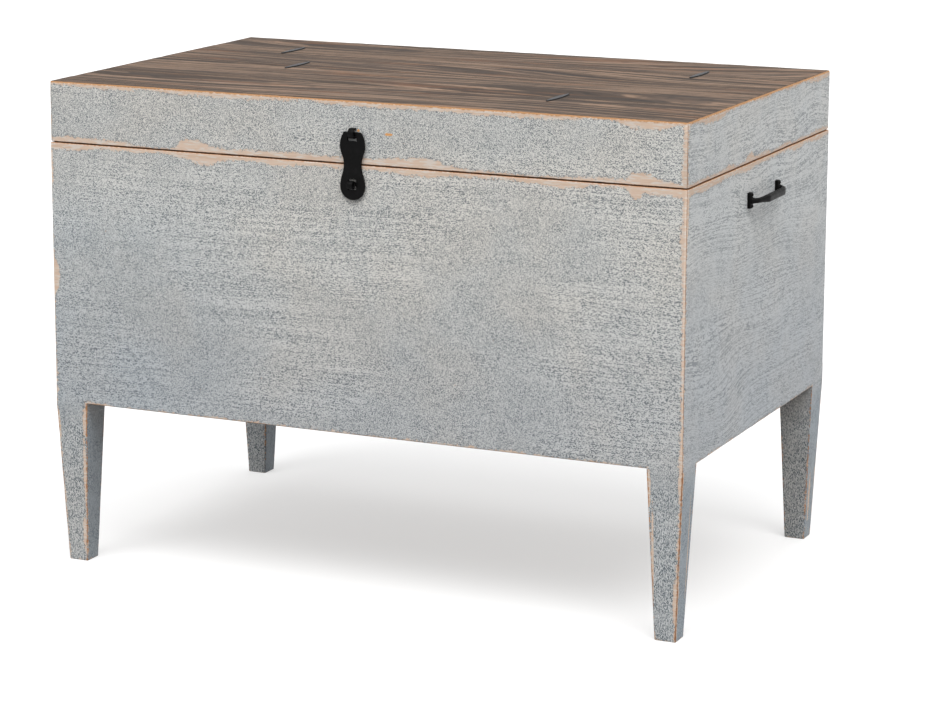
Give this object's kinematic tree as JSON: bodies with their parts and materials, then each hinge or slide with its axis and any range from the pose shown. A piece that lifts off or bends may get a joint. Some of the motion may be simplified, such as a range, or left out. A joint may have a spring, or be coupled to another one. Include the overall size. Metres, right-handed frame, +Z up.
{
  "type": "trunk side table",
  "caption": "Painted wooden trunk side table on four tapered legs, with a hinged plank lid, a black iron hasp, two end handles and slotted lid stays.",
  "frame": {"origin": "on the floor, under the middle of the case", "axes": "+X along the width to the right of someone facing the front, -Y out of the front with the hasp, +Z up"},
  "size_m": [0.9848, 0.6069, 0.6872],
  "materials": {
    "painted_wood": "satin",
    "weathered_plank": "satin",
    "bare_wood": "matte",
    "black_iron": "satin",
    "cleat_iron": "satin"
  },
  "bodies": {
    "case": {"back_left_leg": "painted_wood", "back_panel": "painted_wood", "back_rail": "painted_wood", "back_right_leg": "painted_wood", "bottom_panel": "bare_wood", "case_hinge_nails": "black_iron", "case_stay_nails": "black_iron", "front_left_leg": "painted_wood", "front_panel": "painted_wood", "front_rail": "painted_wood", "front_right_leg": "painted_wood", "left_handle": "black_iron", "left_handle_nails": "black_iron", "left_hinge_case_leaf": "black_iron", "left_hinge_pin": "black_iron", "left_panel": "painted_wood", "left_rail": "painted_wood", "left_stay_case_bracket": "black_iron", "padlock_eye": "black_iron", "right_handle": "black_iron", "right_handle_nails": "black_iron", "right_hinge_case_leaf": "black_iron", "right_hinge_pin": "black_iron", "right_panel": "painted_wood", "right_rail": "painted_wood", "right_stay_case_bracket": "black_iron"},
    "lid": {"back_left_cleat": "cleat_iron", "back_middle_plank": "weathered_plank", "back_plank": "weathered_plank", "back_right_cleat": "cleat_iron", "front_middle_plank": "weathered_plank", "front_plank": "weathered_plank", "front_right_cleat": "cleat_iron", "hasp_lid_staple": "black_iron", "left_hinge_lid_leaf": "black_iron", "left_stay_lid_bracket": "black_iron", "lid_back_board": "painted_wood", "lid_batten_nails": "black_iron", "lid_front_board": "painted_wood", "lid_hinge_nails": "black_iron", "lid_left_batten": "bare_wood", "lid_left_board": "painted_wood", "lid_right_batten": "bare_wood", "lid_right_board": "painted_wood", "lid_stay_nails": "black_iron", "middle_left_cleat": "cleat_iron", "right_hinge_lid_leaf": "black_iron", "right_stay_lid_bracket": "black_iron"},
    "hasp": {"hasp_plate": "black_iron"},
    "left_stay": {"left_stay_arm": "black_iron"},
    "right_stay": {"right_stay_arm": "black_iron"}
  },
  "joints": [
    {"name": "lid_hinge", "type": "hinge", "parent": "case", "child": "lid", "pos_m": [0, 0.2964, 0.601], "axis": [-1, 0, 0], "range_deg": [0, 95]},
    {"name": "hasp_swing", "type": "hinge", "parent": "lid", "child": "hasp", "pos_m": [0, -0.2959, 0.64195], "axis": [-1, 0, 0], "range_deg": [0, 170]},
    {"name": "left_stay_pivot", "type": "hinge", "parent": "lid", "child": "left_stay", "pos_m": [-0.4469, 0.1262, 0.631], "axis": [1, 0, 0], "range_deg": [0, 47.5]},
    {"name": "right_stay_pivot", "type": "hinge", "parent": "lid", "child": "right_stay", "pos_m": [0.4469, 0.1262, 0.631], "axis": [1, 0, 0], "range_deg": [0, 47.5]}
  ],
  "couplings": [
    {"joint": "left_stay_pivot", "follows": "lid_hinge", "ratio": 0.5},
    {"joint": "right_stay_pivot", "follows": "lid_hinge", "ratio": 0.5}
  ]
}
